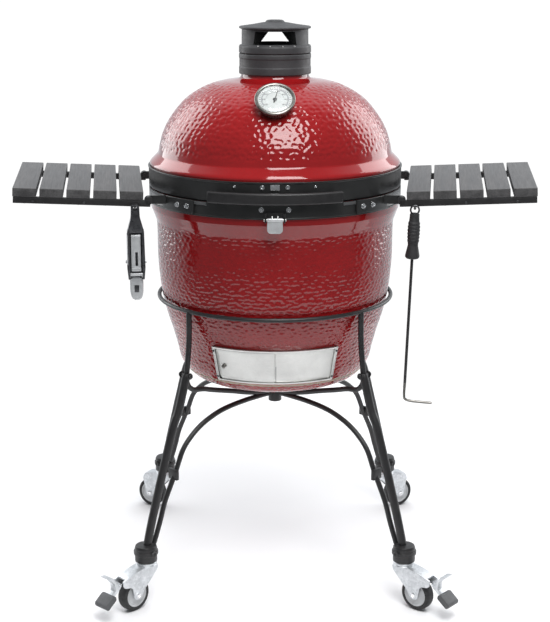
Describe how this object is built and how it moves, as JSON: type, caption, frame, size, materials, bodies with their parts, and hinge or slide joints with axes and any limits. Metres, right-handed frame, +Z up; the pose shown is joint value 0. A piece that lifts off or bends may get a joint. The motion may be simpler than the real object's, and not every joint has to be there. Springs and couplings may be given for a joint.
{
  "type": "kamado ceramic grill",
  "caption": "Egg-shaped ceramic charcoal grill with a hinged lid, top vent and draft door, on a wheeled four-legged cart with folding side shelves and hanging tools.",
  "frame": {"origin": "on the floor, under the middle of the bounding box", "axes": "+Z up, -Y towards the draft door and the lid handle, +X towards the shelf with the ash tool"},
  "size_m": [1.2218, 0.7518, 1.285],
  "materials": {
    "glazed_ceramic": "gloss red glaze over ceramic",
    "fire_clay": "unglazed fire clay",
    "black_paint": "satin black powder coat",
    "grey_iron": "bare casting",
    "steel": "brushed stainless",
    "zinc": "bright zinc plate",
    "rubber": "moulded rubber",
    "slat_plastic": "grained dark grey board",
    "felt": "woven gasket",
    "pedal_plastic": "moulded grey",
    "dial": "polished case with a pale dial",
    "glass": "clear"
  },
  "bodies": {
    "frame": {"base_shell": "glazed_ceramic", "lower_band": "black_paint", "draft_frame": "steel", "ash_drawer": "steel", "fire_box": "fire_clay", "fire_grate": "grey_iron", "fire_ring": "fire_clay", "cooking_rack": "steel", "heat_deflector": "fire_clay", "cooking_grate_left": "steel", "cooking_grate_right": "steel", "hinge_shaft": "steel", "cart_ring": "black_paint", "cross_brace": "black_paint", "leg_front_left": "black_paint", "leg_front_right": "black_paint", "leg_rear_left": "black_paint", "leg_rear_right": "black_paint", "shelf_bracket_left_front": "black_paint", "shelf_bracket_left_rear": "black_paint", "shelf_bracket_right_front": "black_paint", "shelf_bracket_right_rear": "black_paint"},
    "lid": {"dome_shell": "glazed_ceramic", "upper_band": "black_paint", "dome_gasket": "felt", "front_handle": "black_paint", "thermometer_case": "dial", "thermometer_lens": "glass", "vent_base": "black_paint"},
    "needle": {"thermometer_needle": "black_paint"},
    "vent_top": {"vent_tower": "black_paint"},
    "vent_plate": {"vent_dial": "black_paint"},
    "door": {"draft_door": "steel"},
    "latch": {"latch_lever": "steel"},
    "ash_tool": {"ash_tool_handle": "rubber", "ash_tool_rod": "black_paint"},
    "gripper": {"gripper_frame": "black_paint"},
    "trigger": {"gripper_trigger": "steel"},
    "shelf_left": {"shelf_frame_left": "black_paint", "shelf_slat_left_1": "slat_plastic", "shelf_slat_left_2": "slat_plastic", "shelf_slat_left_3": "slat_plastic", "shelf_slat_left_4": "slat_plastic", "shelf_slat_left_5": "slat_plastic"},
    "shelf_right": {"shelf_frame_right": "black_paint", "shelf_slat_right_1": "slat_plastic", "shelf_slat_right_2": "slat_plastic", "shelf_slat_right_3": "slat_plastic", "shelf_slat_right_4": "slat_plastic", "shelf_slat_right_5": "slat_plastic"},
    "caster_front_left": {"caster_fork_front_left": "zinc"},
    "wheel_front_left": {"caster_wheel_front_left": "rubber"},
    "brake_front_left": {"caster_brake_front_left": "pedal_plastic"},
    "caster_front_right": {"caster_fork_front_right": "zinc"},
    "wheel_front_right": {"caster_wheel_front_right": "rubber"},
    "brake_front_right": {"caster_brake_front_right": "pedal_plastic"},
    "caster_rear_left": {"caster_fork_rear_left": "zinc"},
    "wheel_rear_left": {"caster_wheel_rear_left": "rubber"},
    "caster_rear_right": {"caster_fork_rear_right": "zinc"},
    "wheel_rear_right": {"caster_wheel_rear_right": "rubber"}
  },
  "joints": [
    {"name": "lid_hinge", "type": "hinge", "parent": "frame", "child": "lid", "pos_m": [0, 0.36192, 0.93], "axis": [-1, 0, 0], "range_deg": [0, 70]},
    {"name": "thermometer_reading", "type": "hinge", "parent": "lid", "child": "needle", "pos_m": [0, -0.18695, 1.12922], "axis": [0, -0.6967, 0.7174], "range_deg": [-130, 130], "stiffness_Nm_per_rad": 0.002},
    {"name": "vent_flip", "type": "hinge", "parent": "lid", "child": "vent_top", "pos_m": [0, 0.11592, 1.217], "axis": [-1, 0, 0], "range_deg": [0, 95]},
    {"name": "vent_dial_turn", "type": "hinge", "parent": "vent_top", "child": "vent_plate", "pos_m": [0, 0.02792, 1.218], "axis": [0, 0, 1], "range_deg": [0, 30]},
    {"name": "draft_slide", "type": "hinge", "parent": "frame", "child": "door", "pos_m": [0, 0.02792, 0.528], "axis": [0, 0, 1], "range_deg": [0, 31]},
    {"name": "latch_turn", "type": "hinge", "parent": "frame", "child": "latch", "pos_m": [0, -0.27308, 0.884], "axis": [-1, 0, 0], "range_deg": [0, 80]},
    {"name": "shelf_fold_left", "type": "hinge", "parent": "frame", "child": "shelf_left", "pos_m": [-0.2975, 0.02892, 0.9062], "axis": [0.1137, -0.9935, 0], "range_deg": [0, 92.8]},
    {"name": "gripper_swing", "type": "hinge", "parent": "shelf_left", "child": "gripper", "pos_m": [-0.30375, -0.18518, 0.89571], "axis": [0.1137, -0.9935, 0], "range_deg": [-92.8, 0]},
    {"name": "shelf_fold_right", "type": "hinge", "parent": "frame", "child": "shelf_right", "pos_m": [0.2975, 0.02892, 0.9062], "axis": [0.1137, 0.9935, 0], "range_deg": [0, 92.8]},
    {"name": "ash_tool_swing", "type": "hinge", "parent": "shelf_right", "child": "ash_tool", "pos_m": [0.30375, -0.18518, 0.89571], "axis": [0.1137, 0.9935, 0], "range_deg": [-92.8, 0]},
    {"name": "gripper_squeeze", "type": "hinge", "parent": "gripper", "child": "trigger", "pos_m": [-0.30329, -0.18916, 0.83371], "axis": [0.9935, 0.1137, 0], "range_deg": [0, 6], "stiffness_Nm_per_rad": 0.3, "springref_deg": -5.73},
    {"name": "swivel_front_left", "type": "hinge", "parent": "frame", "child": "caster_front_left", "pos_m": [-0.29, -0.26208, 0.104], "axis": [0, 0, 1], "continuous": true},
    {"name": "roll_front_left", "type": "hinge", "parent": "caster_front_left", "child": "wheel_front_left", "pos_m": [-0.31728, -0.29134, 0.0375], "axis": [0.7314, -0.682, 0], "continuous": true},
    {"name": "brake_front_left", "type": "hinge", "parent": "caster_front_left", "child": "brake_front_left", "pos_m": [-0.34933, -0.32571, 0.074], "axis": [0.7314, -0.682, 0], "range_deg": [0, 12]},
    {"name": "swivel_front_right", "type": "hinge", "parent": "frame", "child": "caster_front_right", "pos_m": [0.29, -0.26208, 0.104], "axis": [0, 0, 1], "continuous": true},
    {"name": "roll_front_right", "type": "hinge", "parent": "caster_front_right", "child": "wheel_front_right", "pos_m": [0.32019, -0.28832, 0.0375], "axis": [0.6561, 0.7547, 0], "continuous": true},
    {"name": "brake_front_right", "type": "hinge", "parent": "caster_front_right", "child": "brake_front_right", "pos_m": [0.35566, -0.31916, 0.074], "axis": [0.6561, 0.7547, 0], "range_deg": [0, 12]},
    {"name": "swivel_rear_left", "type": "hinge", "parent": "frame", "child": "caster_rear_left", "pos_m": [-0.29, 0.31792, 0.104], "axis": [0, 0, 1], "continuous": true},
    {"name": "roll_rear_left", "type": "hinge", "parent": "caster_rear_left", "child": "wheel_rear_left", "pos_m": [-0.32564, 0.33608, 0.0375], "axis": [-0.454, -0.891, 0], "continuous": true},
    {"name": "swivel_rear_right", "type": "hinge", "parent": "frame", "child": "caster_rear_right", "pos_m": [0.29, 0.31792, 0.104], "axis": [0, 0, 1], "continuous": true},
    {"name": "roll_rear_right", "type": "hinge", "parent": "caster_rear_right", "child": "wheel_rear_right", "pos_m": [0.32564, 0.33608, 0.0375], "axis": [-0.454, 0.891, 0], "continuous": true}
  ],
  "couplings": [
    {"joint": "gripper_swing", "follows": "shelf_fold_left", "ratio": -1},
    {"joint": "ash_tool_swing", "follows": "shelf_fold_right", "ratio": -1}
  ]
}
